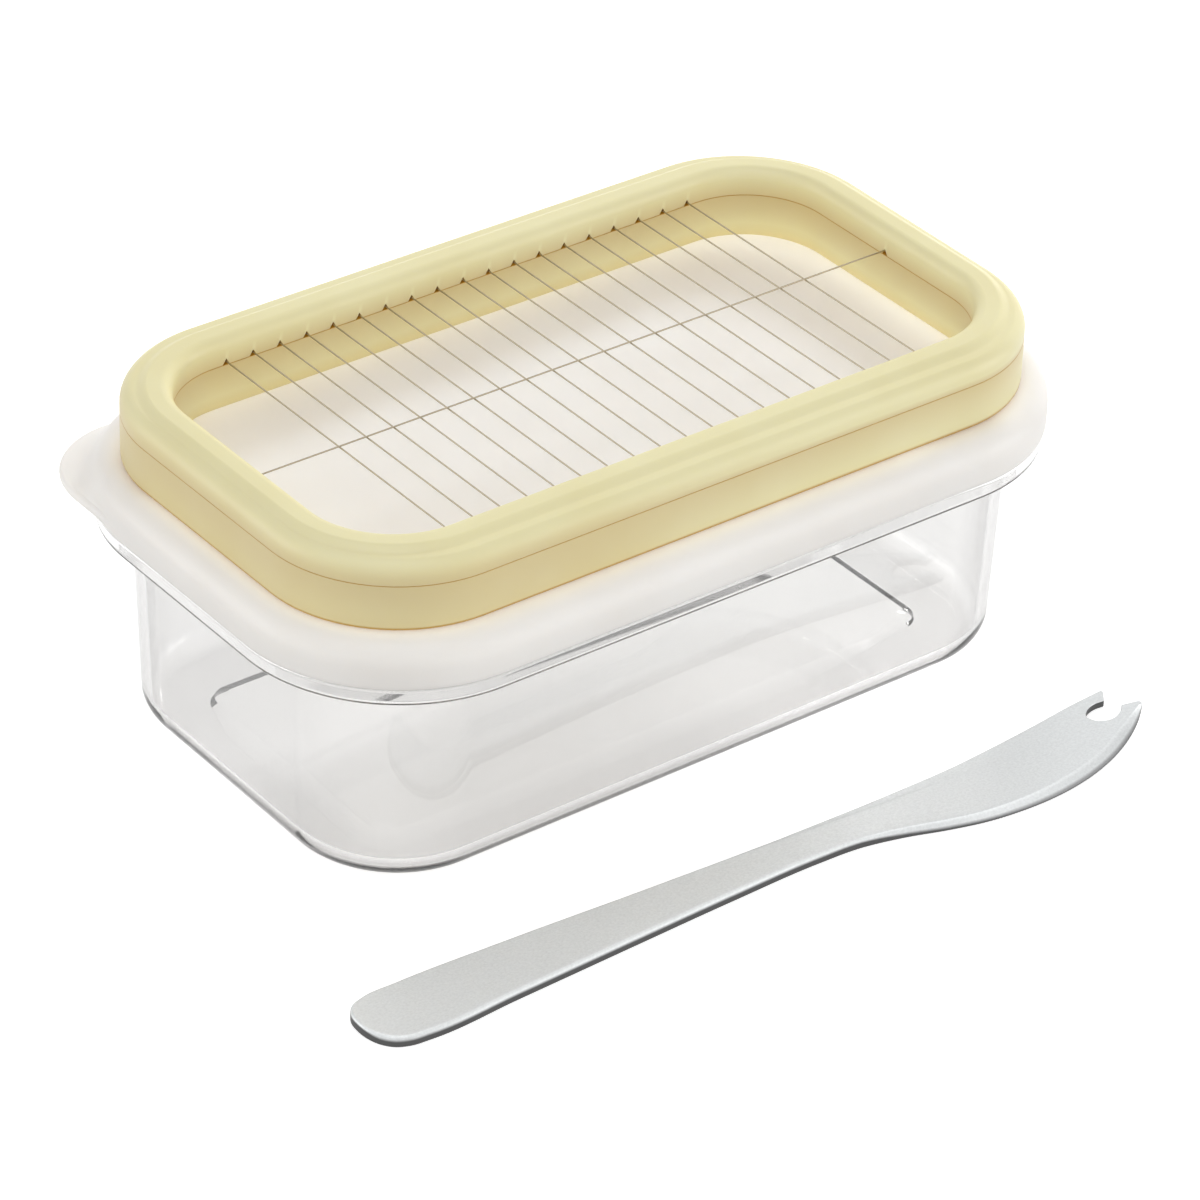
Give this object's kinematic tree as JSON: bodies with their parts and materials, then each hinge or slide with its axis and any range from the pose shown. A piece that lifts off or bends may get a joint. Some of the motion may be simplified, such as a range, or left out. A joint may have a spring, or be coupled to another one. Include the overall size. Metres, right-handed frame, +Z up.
{
  "type": "wire butter slicer",
  "caption": "Clear butter case with a soft white lid, a two-part cream frame strung with cutting wires on top, and a steel butter knife.",
  "frame": {"origin": "centre of the case's underside, on the surface it stands on", "axes": "+Z up; +X along the case, towards its right end seen from the knife's side; -Y towards the knife"},
  "size_m": [0.1819, 0.1367, 0.0692],
  "materials": {
    "clear_plastic": "clear moulded plastic, polished",
    "lid_plastic": "translucent white soft plastic, satin",
    "frame_plastic": "cream moulded plastic, satin",
    "wire_steel": "drawn stainless steel wire",
    "bead_steel": "crimped stainless steel",
    "knife_steel": "fine satin stainless steel"
  },
  "bodies": {
    "case": {"case": "clear_plastic"},
    "lid": {"lid": "lid_plastic"},
    "cutter": {"lower_ring": "frame_plastic", "upper_ring": "frame_plastic", "long_wire": "wire_steel", "cross_beads_front": "bead_steel", "cross_beads_back": "bead_steel", "long_beads": "bead_steel", "cross_wire_01": "wire_steel", "cross_wire_02": "wire_steel", "cross_wire_03": "wire_steel", "cross_wire_04": "wire_steel", "cross_wire_05": "wire_steel", "cross_wire_06": "wire_steel", "cross_wire_07": "wire_steel", "cross_wire_08": "wire_steel", "cross_wire_09": "wire_steel", "cross_wire_10": "wire_steel", "cross_wire_11": "wire_steel", "cross_wire_12": "wire_steel", "cross_wire_13": "wire_steel", "cross_wire_14": "wire_steel", "cross_wire_15": "wire_steel", "cross_wire_16": "wire_steel", "cross_wire_17": "wire_steel", "cross_wire_18": "wire_steel", "cross_wire_19": "wire_steel"},
    "knife": {"knife": "knife_steel"}
  },
  "joints": [
    {"name": "lid_lift", "type": "slide", "parent": "case", "child": "lid", "axis": [0, 0, 1], "range_m": [0, 0.1]},
    {"name": "cutter_lift", "type": "slide", "parent": "lid", "child": "cutter", "axis": [0, 0, 1], "range_m": [0, 0.05]},
    {"name": "knife_lift", "type": "slide", "parent": "case", "child": "knife", "axis": [0, 0, 1], "range_m": [0, 0.06]}
  ]
}
